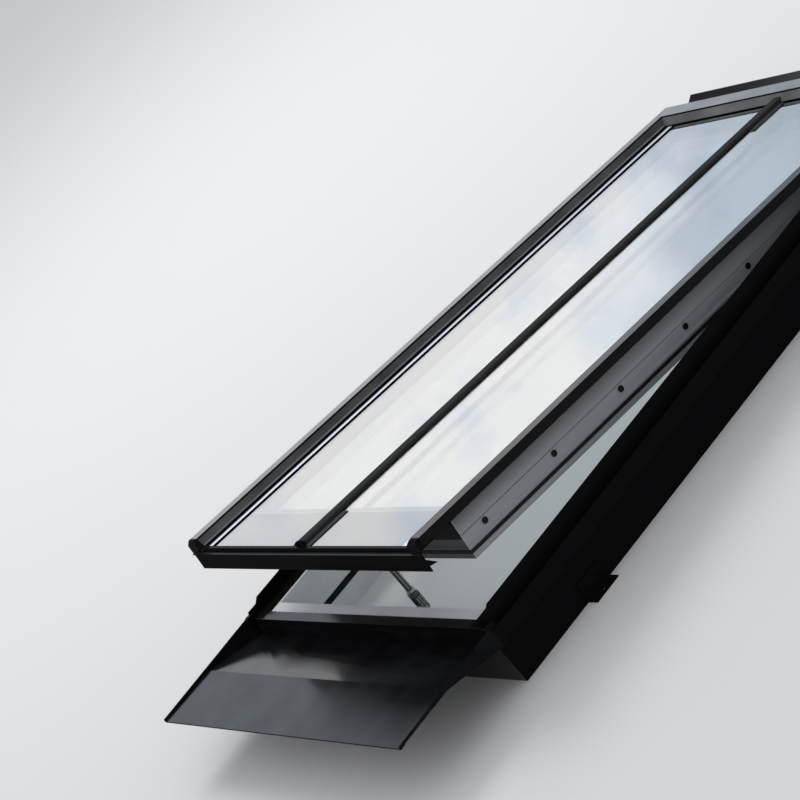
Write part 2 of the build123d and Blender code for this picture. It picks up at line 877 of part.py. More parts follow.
with BuildPart() as stay_pivot_pin:
    with BuildSketch(sash_along(stay_cheek_out)):
        with Locations((stay_s, stay_n)):
            Circle(stay_pin_r)
    extrude(amount=2 * stay_cheek_out)
    with BuildSketch(sash_along(stay_cheek_out + pin_head), sash_along(-stay_cheek_out)):
        with Locations((stay_s, stay_n)):
            Circle(pin_head_r)
    extrude(amount=pin_head)

# Stay arm: from its eye on the pivot pin straight to the peg
pivot = Vector(*sash_point(0, stay_s, stay_n))
peg = Vector(0, peg_y, peg_z)
stay_length = (peg - pivot).length
down = (peg - pivot).normalized()


def stay_side(x):
    """Plane along the stay: local X runs from the pivot to the peg, extruding to plus X."""
    return Plane(origin=(x, pivot.Y, pivot.Z), x_dir=down, z_dir=(1, 0, 0))


with BuildPart() as stay_arm:
    with BuildSketch(stay_side(0)):
        Circle(stay_eye_r)
        with Locations((stay_neck / 2, 0)):
            Rectangle(stay_neck, stay_neck_width)
        Circle(stay_pin_r + stay_bore_clearance, mode=Mode.SUBTRACT)
    extrude(amount=stay_eye_width / 2, both=True)
    with BuildSketch(Plane(origin=pivot + down * stay_neck, x_dir=(1, 0, 0), z_dir=down)):
        Circle(stay_tube_r)
    extrude(amount=stay_length - stay_neck - fork_length - fork_bridge)

# Stay fork: a bridge and two tines, each with a slot open to the front that takes the peg
tine_in = keep_width / 2 + fork_gap
tine_out = tine_in + fork_tine
slot_radius = peg_r + peg_clearance
with BuildPart() as stay_fork:
    with BuildSketch(stay_side(0)):
        with Locations((stay_length - fork_length - fork_bridge / 2, 0)):
            Rectangle(fork_bridge, 2 * fork_half_depth)
    extrude(amount=tine_out, both=True)
    with BuildSketch(stay_side(tine_in), stay_side(-tine_out)):
        with Locations((stay_length - fork_length / 2, 0)):
            Rectangle(fork_length, 2 * fork_half_depth)
        with Locations((stay_length, 0)):
            Circle(fork_half_depth)
    extrude(amount=fork_tine)
    slot_way = Vector(0, -cos(radians(fork_slot_slope)), sin(radians(fork_slot_slope)))
    slot_plane = Plane(origin=peg - Vector(tine_out, 0, 0), x_dir=slot_way, z_dir=(1, 0, 0))
    with BuildSketch(slot_plane):
        Circle(slot_radius)
        with Locations((fork_half_depth, 0)):
            Rectangle(2 * fork_half_depth, 2 * slot_radius)
    extrude(amount=2 * tine_out, mode=Mode.SUBTRACT)

pieces = {
    "kerb_left": kerb_left,
    "kerb_right": kerb_right,
    "kerb_front": kerb_front,
    "kerb_head": kerb_head,
    "capping_left": capping_left,
    "capping_right": capping_right,
    "capping_front": capping_front,
    "capping_head": capping_head,
    "landing_seal": landing_seal,
    "apron_flashing": apron_flashing,
    "side_flashing_left": side_flashing_left,
    "side_flashing_right": side_flashing_right,
    "head_flashing": head_flashing,
    "fixing_brackets": fixing_brackets,
    "bracket_screws": bracket_screws,
    "hinge_bracket_left": hinge_bracket(-hinge_x),
    "hinge_bracket_right": hinge_bracket(hinge_x),
    "hinge_pin_left": hinge_pin(-hinge_x),
    "hinge_pin_right": hinge_pin(hinge_x),
    "hinge_lug_left": hinge_lug(-hinge_x),
    "hinge_lug_right": hinge_lug(hinge_x),
    "stay_keep": stay_keep,
    "stay_peg": stay_peg,
    "stile_left": stile_left,
    "stile_right": stile_right,
    "head_rail": head_rail,
    "stile_end_caps": stile_end_caps,
    "outer_pane": outer_pane,
    "spacer_frame": spacer_frame,
    "inner_pane": inner_pane,
    "glazing_gasket": glazing_gasket,
    "front_edge_trim": front_edge_trim,
    "drip_skirt": drip_skirt,
    "glazing_bar": glazing_bar,
    "bar_foot_plates": bar_foot_plates,
    "liner_left": liner_left,
    "liner_right": liner_right,
    "liner_head": liner_head_member,
    "liner_front": liner_front_member,
    "liner_gasket": liner_gasket,
    "liner_screws": liner_screws,
    "stay_bracket": stay_bracket,
    "stay_pivot_pin": stay_pivot_pin,
    "stay_arm": stay_arm,
    "stay_fork": stay_fork,
}
for node, piece in pieces.items():
    save(piece, node)

rest_lean = degrees(atan2(peg.Y - pivot.Y, pivot.Z - peg.Z))
print(f"{len(pieces)} nodes, stay length {stay_length:.1f}, stay lean at rest {rest_lean:.2f} degrees")
print(f"hinge axis y {hinge_y:.2f} z {hinge_z:.2f}, stay pivot y {pivot.Y:.2f} z {pivot.Z:.2f}")
print(f"skirt s {skirt_s:.1f}, liner s {liner_head:.1f} to {liner_front:.1f}")
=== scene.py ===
from math import radians

import bpy
from mathutils import Matrix, Vector


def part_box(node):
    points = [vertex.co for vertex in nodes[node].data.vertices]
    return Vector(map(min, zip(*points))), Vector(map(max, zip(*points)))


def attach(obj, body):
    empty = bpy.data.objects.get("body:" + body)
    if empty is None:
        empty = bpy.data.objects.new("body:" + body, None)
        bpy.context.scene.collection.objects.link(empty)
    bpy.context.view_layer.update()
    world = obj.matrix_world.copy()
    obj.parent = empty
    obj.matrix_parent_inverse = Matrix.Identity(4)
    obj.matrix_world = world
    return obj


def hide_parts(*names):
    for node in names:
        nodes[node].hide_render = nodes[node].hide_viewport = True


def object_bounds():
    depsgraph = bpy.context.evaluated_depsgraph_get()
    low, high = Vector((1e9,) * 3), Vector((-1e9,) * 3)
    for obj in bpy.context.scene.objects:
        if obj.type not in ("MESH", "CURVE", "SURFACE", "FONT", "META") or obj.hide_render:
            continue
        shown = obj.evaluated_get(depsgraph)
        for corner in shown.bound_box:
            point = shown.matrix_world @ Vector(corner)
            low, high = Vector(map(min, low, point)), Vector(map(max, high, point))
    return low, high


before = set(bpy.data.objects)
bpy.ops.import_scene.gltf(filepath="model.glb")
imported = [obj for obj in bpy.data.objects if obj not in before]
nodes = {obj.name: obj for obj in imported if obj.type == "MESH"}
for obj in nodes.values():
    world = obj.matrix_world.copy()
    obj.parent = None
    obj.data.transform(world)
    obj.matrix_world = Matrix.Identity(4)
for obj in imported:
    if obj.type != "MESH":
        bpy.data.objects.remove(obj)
cad_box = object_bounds()

# The viewpoint: low at the right of the eaves, and rolled, because the skylight is modelled lying
# flat. The lens is long, so the skylight is hardly drawn in perspective.
eye = (4.1087, -2.3047, 1.9854)
film_mm = 36
lens_mm = 125.63
farthest = 200
view_right = Vector((0.52691622, 0.59146786, -0.61034831))
view_down = Vector((-0.04424014, -0.69806632, -0.71466511))
view_ahead = Vector((-0.84876505, 0.40357054, -0.34165584))
bpy.ops.object.select_all(action="DESELECT")
bpy.ops.object.camera_add(location=eye)
camera = bpy.context.object
camera.name = "eaves_camera"
camera.rotation_euler = Matrix((view_right, -view_down, -view_ahead)).transposed().to_euler()
camera.data.sensor_width = film_mm
camera.data.lens = lens_mm
camera.data.clip_end = farthest
bpy.context.scene.camera = camera
bpy.context.scene.view_settings.view_transform = "Standard"

# The studio: a pale floor, one broad soft lamp over the hinge side at the left, and a white
# surround, which glass and paint mirror: lightly clouded, and cool grey beyond the head.
floor_width = 60
floor_white = (0.80, 0.80, 0.79)
lamp_place = (-3.2, 1.4, 4.6)
lamp_width = 2.4
lamp_power = 105
bpy.ops.object.select_all(action="DESELECT")
bpy.ops.mesh.primitive_plane_add(size=floor_width, location=(0, 0, cad_box[0][2]))
floor = bpy.context.object
floor.name = "studio_floor"
bpy.ops.object.transform_apply(location=True)
floor_paint = bpy.data.materials.new("studio_floor")
floor_paint.use_nodes = True
floor_shader = floor_paint.node_tree.nodes["Principled BSDF"]
floor_shader.inputs["Base Color"].default_value = (*floor_white, 1)
floor_shader.inputs["Roughness"].default_value = 0.9
floor.data.materials.append(floor_paint)

bpy.ops.object.light_add(type="AREA", location=lamp_place)
key_lamp = bpy.context.object
key_lamp.name = "key_lamp"
key_lamp.data.size = lamp_width
key_lamp.data.energy = lamp_power
key_lamp.rotation_euler = (-key_lamp.location).to_track_quat("-Z", "Y").to_euler()


class Tone:
    """A socket in one material: arithmetic on it adds Math nodes, and add() adds any other node."""

    def __init__(self, tree, socket=None):
        self.tree = tree
        self.socket = socket

    def add(self, kind, settings=None, sockets=None, output=0):
        node = self.tree.nodes.new(kind)
        for name, value in (settings or {}).items():
            if name == "stops":
                ramp = node.color_ramp
                for extra in value[2:]:
                    ramp.elements.new(extra[0])
                for element, (place, colour) in zip(ramp.elements, value):
                    element.position = place
                    element.color = colour
            else:
                setattr(node, name, value)
        for name, value in (sockets or {}).items():
            if isinstance(value, Tone):
                self.tree.links.new(value.socket, node.inputs[name])
            else:
                node.inputs[name].default_value = value
        return Tone(self.tree, node.outputs[output] if node.outputs else None)

    def maths(self, operation, first, second):
        return self.add("ShaderNodeMath", {"operation": operation}, {0: first, 1: second})

    def __add__(self, other):
        return self.maths("ADD", self, other)

    __radd__ = __add__

    def __sub__(self, other):
        return self.maths("SUBTRACT", self, other)

    def __rsub__(self, other):
        return self.maths("SUBTRACT", other, self)

    def __mul__(self, other):
        return self.maths("MULTIPLY", self, other)

    __rmul__ = __mul__


world = bpy.data.worlds.new("studio")
world.use_nodes = True
bpy.context.scene.world = world
world.node_tree.nodes.clear()
surround = Tone(world.node_tree)
direct_rays = surround.add("ShaderNodeLightPath", output="Is Camera Ray")
glossy_rays = Tone(world.node_tree, direct_rays.socket.node.outputs["Is Glossy Ray"])
through_rays = Tone(world.node_tree, direct_rays.socket.node.outputs["Is Transmission Ray"])
seen = surround.maths("MAXIMUM", direct_rays, glossy_rays)
seen = surround.maths("MAXIMUM", seen, through_rays)
way = surround.add("ShaderNodeTexCoord", output="Generated")
drift = surround.add("ShaderNodeTexNoise", None, {"Vector": way, "Scale": 14, "Detail": 5})
drift_reach = 0.16
towards_head = surround.add("ShaderNodeSeparateXYZ", None, {0: way}, output="Y")
towards_head = towards_head + drift_reach * (drift - 0.5)
cloth_stops = [
    (0.53, (1, 1, 1, 1)),
    (0.565, (0.86, 0.90, 0.96, 1)),
    (0.595, (0.56, 0.64, 0.73, 1)),
    (0.65, (0.46, 0.55, 0.65, 1)),
]
cloth = surround.add("ShaderNodeValToRGB", {"stops": cloth_stops}, {0: towards_head})
clouds = surround.add("ShaderNodeTexNoise", None, {"Vector": way, "Scale": 26, "Detail": 6})
cloud_stops = [(0.50, (1, 1, 1, 1)), (0.68, (0.78, 0.84, 0.95, 1))]
clouds = surround.add("ShaderNodeValToRGB", {"stops": cloud_stops}, {0: clouds})
cloth = surround.add("ShaderNodeVectorMath", {"operation": "MULTIPLY"}, {0: cloth, 1: clouds})
height = surround.add("ShaderNodeSeparateXYZ", None, {0: way}, output="Z")
blue_stops = [(0.27, (1, 1, 1, 1)), (0.32, (0.85, 0.92, 1, 1))]
blue = surround.add("ShaderNodeValToRGB", {"stops": blue_stops}, {0: height})
cloth = surround.add("ShaderNodeVectorMath", {"operation": "MULTIPLY"}, {0: cloth, 1: blue})
sky_light = {"Color": (0.95, 0.96, 1, 1), "Strength": 0.7}
lighting = surround.add("ShaderNodeBackground", None, sky_light)
mirrored = surround.add("ShaderNodeBackground", None, {"Color": cloth, "Strength": 1})
white = surround.add("ShaderNodeBackground", None, {"Color": (1, 1, 1, 1), "Strength": 1})
backdrop = surround.add("ShaderNodeMixShader", None, {0: glossy_rays, 1: white, 2: mirrored})
mixed = surround.add("ShaderNodeMixShader", None, {0: seen, 1: lighting, 2: backdrop})
surround.add("ShaderNodeOutputWorld", None, {"Surface": mixed})


# The kerb's timber: four planed softwood members, painted pale grey. The paint shows the grain as
# fine ridges along each member, and is a little scuffed where hands and brushes pass.
def new_finish(name, slot_colour, **constants):
    """Starts a material: its shader with the values that are the same all over, and its place."""
    material = bpy.data.materials.new(name)
    material.use_nodes = True
    shader = material.node_tree.nodes["Principled BSDF"]
    shader.inputs["Base Color"].default_value = (*slot_colour, 1)
    for socket, value in constants.items():
        shader.inputs[socket.replace("_", " ")].default_value = value
    tree = material.node_tree
    coordinates = tree.nodes.new("ShaderNodeTexCoord")
    return material, shader, Tone(tree, coordinates.outputs["Object"])


def noise(place, scale, detail=3, stretch=(1, 1, 1)):
    """Mottling with features of 1/scale metres, drawn out along an axis where stretch is small."""
    spread = place.add("ShaderNodeMapping", None, {"Vector": place, "Scale": stretch})
    sockets = {"Vector": spread, "Scale": scale, "Detail": detail}
    return place.add("ShaderNodeTexNoise", None, sockets)


def between(tone, low, high, first, second):
    """A colour that runs from first to second as tone runs from low to high."""
    stops = [(low, (*first, 1)), (high, (*second, 1))]
    return tone.add("ShaderNodeValToRGB", {"stops": stops}, {0: tone})


def relief(place, height, depth, edge=0.0006):
    """The normal of a surface with rounded edges and a fine relief of that depth in metres."""
    rounded = place.add("ShaderNodeBevel", {"samples": 4}, {"Radius": edge})
    sockets = {"Height": height, "Distance": depth, "Normal": rounded}
    return place.add("ShaderNodeBump", None, sockets)


def feed(shader, **tones):
    """Joins tones to the shader's sockets."""
    for socket, tone in tones.items():
        tone.tree.links.new(tone.socket, shader.inputs[socket.replace("_", " ")])


def dress(material, *names):
    """Gives CAD nodes a finish."""
    for name in names:
        for slot in nodes[name].material_slots:
            slot.material = material


timber_pale = (0.74, 0.755, 0.765)
timber_shade = (0.65, 0.665, 0.675)
for finish_name, grain_way, members in (
    ("painted_timber_sides", (9, 0.35, 9), ("kerb_left", "kerb_right")),
    ("painted_timber_ends", (0.35, 9, 9), ("kerb_front", "kerb_head")),
):
    timber_paint, shader, place = new_finish(finish_name, timber_pale, Roughness=0.5)
    grain = noise(place, 30, 4, grain_way)
    scuffs = noise(place, 14, 5)
    feed(
        shader,
        Base_Color=between(scuffs, 0.35, 0.7, timber_pale, timber_shade),
        Roughness=0.42 + 0.25 * scuffs,
        Normal=relief(place, grain, 0.0006),
    )
    dress(timber_paint, *members)

# The kerb's capping: pressed steel, powder coated black, with a fine orange-peel. Faces that lie
# flat are glossier and carry a film of dust; steep ones are washed clean and stay dull black.
steel_black = (0.0045, 0.0047, 0.0052)
steel_dust_and_sheen = (0.05, 0.05, 0.05)


def ramp_up(tone, low, high, bottom=0, top=1):
    """Runs from bottom to top as the tone runs from low to high."""
    sockets = {"Value": tone, "From Min": low, "From Max": high, "To Min": bottom, "To Max": top}
    return tone.add("ShaderNodeMapRange", None, sockets)


def facing_up(place, low, high):
    """1 on faces that lie flat, and 0 on steep ones."""
    normal = place.add("ShaderNodeTexCoord", output="Normal")
    upward = place.add("ShaderNodeSeparateXYZ", None, {0: normal}, output="Z")
    return ramp_up(upward, low, high)


def coated_steel(name, gloss, dust_and_sheen, coat_roughness, coat_ior=1.5, steep=0.04):
    """Black powder coat, its flat faces under a pale film of dust and painted sheen: flat faces
    shine by gloss, and steep ones by steep.
    """
    material, shader, place = new_finish(
        name,
        steel_black,
        Specular_IOR_Level=0,
        Coat_IOR=coat_ior,
        Coat_Roughness=coat_roughness,
    )
    dust_and_sheen_colour = [dust_and_sheen * value for value in steel_dust_and_sheen]
    film = noise(place, 9, 6) * facing_up(place, 0.1, 0.98)
    peel = noise(place, 700, 1)
    feed(
        shader,
        Base_Color=between(film, 0.05, 0.75, steel_black, dust_and_sheen_colour),
        Roughness=0.5 + 0.2 * film,
        Coat_Weight=steep + (gloss - steep) * facing_up(place, 0.72, 0.95),
        Normal=relief(place, peel, 0.00006),
    )
    return material


capping_steel = coated_steel("capping_steel", 0.22, 0.15, 0.14)
dress(capping_steel, "capping_left", "capping_right", "capping_head")
front_steel = coated_steel("capping_front_steel", 0.8, 0.4, 0.2, steep=0.8)
dress(front_steel, "capping_front")

# The landing seal: an extruded black rubber strip, matt, with bloom, pressed onto the lining all
# round the inside of the kerb.
rubber_black = (0.008, 0.008, 0.009)
rubber_bloom = (0.018, 0.018, 0.019)
rubber, shader, place = new_finish("rubber", rubber_black, Specular_IOR_Level=0.15)
bloom = noise(place, 60, 4)
feed(
    shader,
    Base_Color=between(bloom, 0.4, 0.8, rubber_black, rubber_bloom),
    Roughness=0.5 + 0.25 * bloom,
    Normal=relief(place, noise(place, 900, 2), 0.00008),
)
dress(rubber, "landing_seal")

# The flashings: black coated sheet, folded and dressed down by hand, so that it is a little wavy,
# with dried water marks. The apron's gloss is masked by place: its right half and the top of its
# slope are dulled as painted shade, where the kerb and sash darken it, and the gutters are satin.
apron_fold = -0.807
wet_black = (0.0055, 0.0058, 0.0064)
dried_marks = (0.013, 0.0142, 0.0168)
flashing_sheet, shader, place = new_finish(
    "flashing_sheet", wet_black, Specular_IOR_Level=0, Coat_IOR=1.5, Coat_Roughness=0.15
)
water_marks = noise(place, 16, 7)
waves = noise(place, 5, 1)
across = place.add("ShaderNodeSeparateXYZ", None, {0: place}, output="X")
across = across + 0.04 * (waves - 0.5)
along = place.add("ShaderNodeSeparateXYZ", None, {0: place}, output="Y")
leaning = across + 1.25 * (along + 0.81)
on_slope = ramp_up(along, apron_fold - 0.002, apron_fold + 0.002)
# Painted shade: the coat is dulled by place on the apron's right half and the top of its slope.
shaded_flat = 0.6 * ramp_up(leaning, -0.05, 0.05) + 0.4 * ramp_up(leaning, 0.05, 0.24)
shaded_flat = shaded_flat * ramp_up(along, -0.93, -0.838, 0.28, 1)
unshaded_slope = 1 - 0.85 * ramp_up(across, 0.1, 0.36)
shaded_slope = 1 - unshaded_slope * ramp_up(along + 0.1 * waves, -0.69, -0.735)
gloss_outside_shade = 1 - shaded_flat * (1 - on_slope) - shaded_slope * on_slope
feed(
    shader,
    Base_Color=between(water_marks, 0.4, 0.8, wet_black, dried_marks),
    Roughness=0.4 + 0.3 * water_marks,
    Coat_Weight=0.05 + (0.68 + 0.25 * water_marks) * facing_up(place, 0.7, 0.9) * gloss_outside_shade,
    Normal=relief(place, waves, 0.006, 0.0009),
)
dress(flashing_sheet, "apron_flashing")
dress(capping_steel, "side_flashing_left", "side_flashing_right", "head_flashing")

# The fixing brackets: four angles of thick steel strip, coated with the kerb, each screwed to it by
# two pan-head screws with a cross recess.
dress(capping_steel, "fixing_brackets")


dome_share = 0.8
blade_share = 0.24


def pan_screw(name, radius, height, recess):
    """Models one pan-head screw at the origin, its axis along Z, with a cross recess."""
    bpy.ops.object.select_all(action="DESELECT")
    bpy.ops.mesh.primitive_cylinder_add(
        vertices=32, radius=radius, depth=height, location=(0, 0, height / 2)
    )
    head = bpy.context.object
    head.name = name
    bpy.ops.object.transform_apply(location=True)
    dome = head.modifiers.new("dome", "BEVEL")
    dome.width = dome_share * height
    dome.segments = 4
    dome.limit_method = "ANGLE"
    bpy.ops.object.modifier_apply(modifier=dome.name)
    for wide, deep in ((1, blade_share), (blade_share, 1)):
        bpy.ops.mesh.primitive_cube_add(
            size=1, location=(0, 0, height), scale=(wide * recess, deep * recess, 1.1 * height)
        )
        slot_cutter = bpy.context.object
        bpy.ops.object.transform_apply()
        bpy.context.view_layer.objects.active = head
        cut = head.modifiers.new("recess", "BOOLEAN")
        cut.operation = "DIFFERENCE"
        cut.object = slot_cutter
        bpy.ops.object.modifier_apply(modifier=cut.name)
        bpy.data.objects.remove(slot_cutter)
    bpy.ops.object.select_all(action="DESELECT")
    head.select_set(True)
    bpy.ops.object.shade_smooth_by_angle(angle=radians(35))
    return head


def set_copy(model, name, placing, body, material):
    """Sets a copy of a finished model in its place, and makes it ride on a body."""
    bpy.ops.object.select_all(action="DESELECT")
    model.select_set(True)
    bpy.context.view_layer.objects.active = model
    bpy.ops.object.duplicate()
    piece = bpy.context.object
    piece.name = name
    piece.data.name = name
    piece.matrix_world = placing
    bpy.ops.object.transform_apply()
    piece.data.materials.clear()
    piece.data.materials.append(material)
    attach(piece, body)
    return piece


low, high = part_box("bracket_screws")
head_height = 0.0022
seat_x = high[0] - head_height
seat_z = (low[2] + high[2]) / 2
bracket_screw = pan_screw("bracket_screw_model", 0.005, head_height, 0.0052)
screw_count = 0
for side in (-1, 1):
    turn = Matrix.Rotation(side * radians(90), 4, "Y")
    for bracket_y in (-0.48, 0.48):
        for step in (-0.017, 0.017):
            screw_count += 1
            name = f"bracket_screw_{screw_count}"
            placing = Matrix.Translation((side * seat_x, bracket_y + step, seat_z)) @ turn
            screw = set_copy(bracket_screw, name, placing, "base", capping_steel)
            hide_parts("bracket_screws")
bpy.data.objects.remove(bracket_screw)

# The hinges and the stay's ironwork: pressed strip and turned pins, zinc plated, with the grain of
# rolled strip and a faint iridescence turned to grey.
zinc_bright = (0.50, 0.51, 0.52)
zinc_dull = (0.34, 0.35, 0.355)
zinc, shader, place = new_finish("zinc_steel", zinc_bright, Metallic=1)
spangle = noise(place, 180, 3)
rolled = noise(place, 400, 2, (1, 0.08, 1))
feed(
    shader,
    Base_Color=between(spangle, 0.35, 0.7, zinc_bright, zinc_dull),
    Roughness=0.28 + 0.3 * spangle,
    Normal=relief(place, rolled, 0.00005),
)
dress(
    zinc,
    "hinge_bracket_left",
    "hinge_bracket_right",
    "hinge_pin_left",
    "hinge_pin_right",
    "hinge_lug_left",
    "hinge_lug_right",
    "stay_keep",
    "stay_peg",
    "stay_bracket",
    "stay_pivot_pin",
)

# The sash's cap: folded steel rails mitred at the head, powder coated, each with its own gloss and
# its own pale film on the flats, partly dust and partly a painted sheen.
# A black bead seals the fold between the flange and the slope, and a pale strip along the foot of
# each stile's slope paints the highlight on the fold's edge.
# Partly painted sheen: each rail's dust amount also lightens its flats by the sheen of the sky on
# them.
for rail, gloss, dust_and_sheen in (("stile_left", 1, 3.4), ("stile_right", 0.5, 1.6), ("head_rail", 1, 5)):
    dress(coated_steel(f"{rail}_steel", gloss, dust_and_sheen, 0.2, coat_ior=2.4), rail)

# Places on the sash are given by x, by the way up the slope from the ridge of the head rail (so
# the front is negative), and by the height above that ridge.
sash_frame = Matrix.Translation((0, 0.676506, 0.15002)) @ Matrix.Rotation(radians(-6.89), 4, "X")
stile_front = -1.353


def onto_sash(piece, material):
    """Carries a piece from the sash's own places to the frame, and makes it ride on the sash."""
    bpy.ops.object.select_all(action="DESELECT")
    piece.select_set(True)
    bpy.context.view_layer.objects.active = piece
    bpy.ops.object.transform_apply()
    piece.matrix_world = sash_frame
    bpy.ops.object.transform_apply()
    piece.data.name = piece.name
    piece.data.materials.clear()
    piece.data.materials.append(material)
    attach(piece, "sash")
    return piece


def frame_bead(name, half_width, head, height, radius):
    """Models a round bead along both stiles and the head rail, open at the front of the sash."""
    bpy.ops.object.select_all(action="DESELECT")
    bpy.ops.mesh.primitive_plane_add(size=1, location=(0, (stile_front + head) / 2, height))
    bead = bpy.context.object
    bead.name = name
    bead.scale = (2 * half_width, head - stile_front, 1)
    bpy.ops.object.transform_apply()
    bpy.ops.object.mode_set(mode="EDIT")
    bpy.ops.mesh.select_all(action="SELECT")
    bpy.ops.mesh.delete(type="ONLY_FACE")
    bpy.ops.mesh.select_all(action="DESELECT")
    bpy.ops.object.mode_set(mode="OBJECT")
    for edge in bead.data.edges:
        farthest_up = max(bead.data.vertices[end].co.y for end in edge.vertices)
        edge.select = farthest_up < stile_front + 0.01
    bpy.ops.object.mode_set(mode="EDIT")
    bpy.ops.mesh.select_mode(type="EDGE")
    bpy.ops.mesh.delete(type="EDGE")
    bpy.ops.object.mode_set(mode="OBJECT")
    bpy.ops.object.convert(target="CURVE")
    bead.data.bevel_depth = radius
    bead.data.bevel_resolution = 3
    bead.data.use_fill_caps = True
    bpy.ops.object.convert(target="MESH")
    bpy.ops.object.shade_smooth_by_angle(angle=radians(40))
    return bead


lip_black = (0.003, 0.003, 0.0032)
lip_bloom = (0.006, 0.006, 0.006)
lip_rubber, shader, place = new_finish("lip_rubber", lip_black, Specular_IOR_Level=0)
bloom = noise(place, 90, 3)
feed(
    shader,
    Base_Color=between(bloom, 0.4, 0.8, lip_black, lip_bloom),
    Roughness=0.6 + 0.2 * bloom,
)
ridge_bead = frame_bead("ridge_bead", 0.3637, -0.0013, -0.0017, 0.0016)
onto_sash(ridge_bead, lip_rubber)


def soft_strip(name, low, high, rounding, segments=3, tilt=0):
    """Models a straight strip between two corners, its edges rounded."""
    bpy.ops.object.select_all(action="DESELECT")
    bpy.ops.mesh.primitive_cube_add(size=1, location=[(a + b) / 2 for a, b in zip(low, high)])
    strip = bpy.context.object
    strip.name = name
    strip.scale = [b - a for a, b in zip(low, high)]
    strip.rotation_euler.y = tilt
    bpy.ops.object.transform_apply()
    edges = strip.modifiers.new("rounding", "BEVEL")
    edges.width = rounding
    edges.segments = segments
    bpy.ops.object.modifier_apply(modifier=edges.name)
    bpy.ops.object.shade_smooth_by_angle(angle=radians(40))
    return strip


sides = (("left", -1), ("right", 1))
hem_middle = 0.3508
hem_half = 0.0024
hem_slope = radians(46.8)
# Painted highlight: the pale strip at the foot of each slope stands for the light along the fold's
# edge.
hem_highlight_grey = (0.15, 0.153, 0.156)
hem_highlight_dim = (0.11, 0.11, 0.112)
hem_highlight, shader, place = new_finish("hem_highlight_steel", hem_highlight_grey)
highlight_mottle = noise(place, 60, 4)
feed(
    shader,
    Base_Color=between(highlight_mottle, 0.35, 0.7, hem_highlight_grey, hem_highlight_dim),
    Roughness=0.35 + 0.2 * highlight_mottle,
)
for side_name, side in sides:
    middle = side * hem_middle
    foot_highlight = soft_strip(
        f"foot_highlight_{side_name}",
        (middle - hem_half, stile_front, -0.0155),
        (middle + hem_half, -0.0148, -0.0147),
        0.0003,
        tilt=-side * hem_slope,
    )
    onto_sash(foot_highlight, hem_highlight)

# The stiles' end plugs: moulded black plastic with a fine spark texture, pressed into the open front
# ends of the cap.
plug_black = (0.003, 0.003, 0.0033)
plug_worn = (0.008, 0.008, 0.0085)
plastic, shader, place = new_finish("plug_plastic", plug_black, Specular_IOR_Level=0.02)
spark = noise(place, 1500, 2)
feed(
    shader,
    Base_Color=between(spark, 0.3, 0.8, plug_black, plug_worn),
    Roughness=0.48 + 0.2 * spark,
    Normal=relief(place, spark, 0.0001),
)
dress(plastic, "stile_end_caps")

# The front of the sash: a drip skirt and a thin trim over the edge of the glass. Both stand steep
# and keep clean, but for the rolled bead along the top of the skirt, which is rubbed and shines.
skirt_steel = coated_steel("skirt_steel", 0.5, 0.6, 0.2)
dress(skirt_steel, "drip_skirt")
dress(capping_steel, "front_edge_trim")

# The glass unit: two float panes on a grey spacer, the inner one with a clear heat-reflecting
# coat, so that it mirrors more. Both pass lamp light, their glare grows towards a grazing view, and
# their surfaces carry the faintest smears.
glass_tint = (0.98, 0.99, 0.99)
lamp_tint = (0.66, 0.68, 0.685)
sky_tint = (0.93, 0.95, 0.955)
for finish_name, glare_limit, pane in (
    ("outer_glass", 0.33, "outer_pane"),
    ("inner_glass", 1, "inner_pane"),
):
    glass, shader, place = new_finish(
        finish_name,
        glass_tint,
        Transmission_Weight=1,
        IOR=1.5,
        Coat_Weight=1,
        Coat_IOR=2,
        Coat_Roughness=0,
    )
    smears = noise(place, 7, 5, (1, 0.4, 1))
    feed(shader, Roughness=0.02 * smears)
    clear_pane = Tone(place.tree, shader.outputs[0])
    grazing = place.add("ShaderNodeLayerWeight", None, {"Blend": 0.5}, output="Facing")
    glare = ramp_up(grazing, 0.45, 0.78, 0, glare_limit)
    mirror = place.add("ShaderNodeBsdfGlossy", None, {"Color": (1, 1, 1, 1), "Roughness": 0.0})
    glared = place.add("ShaderNodeMixShader", None, {0: glare, 1: clear_pane, 2: mirror})
    lamp_rays = place.add("ShaderNodeLightPath", output="Is Shadow Ray")
    sky_rays = Tone(place.tree, lamp_rays.socket.node.outputs["Is Diffuse Ray"])
    clear = place.add("ShaderNodeBsdfTransparent", None, {"Color": (*lamp_tint, 1)})
    clearer = place.add("ShaderNodeBsdfTransparent", None, {"Color": (*sky_tint, 1)})
    lit_through = place.add("ShaderNodeMixShader", None, {0: lamp_rays, 1: glared, 2: clear})
    lit_through = place.add("ShaderNodeMixShader", None, {0: sky_rays, 1: lit_through, 2: clearer})
    place.tree.links.new(lit_through.socket, place.tree.nodes["Material Output"].inputs["Surface"])
    dress(glass, pane)

spacer_grey = (0.30, 0.31, 0.32)
spacer_bar, shader, place = new_finish("spacer_bar", spacer_grey, Metallic=0.9)
feed(shader, Roughness=0.35 + 0.2 * noise(place, 200, 2))
dress(spacer_bar, "spacer_frame")

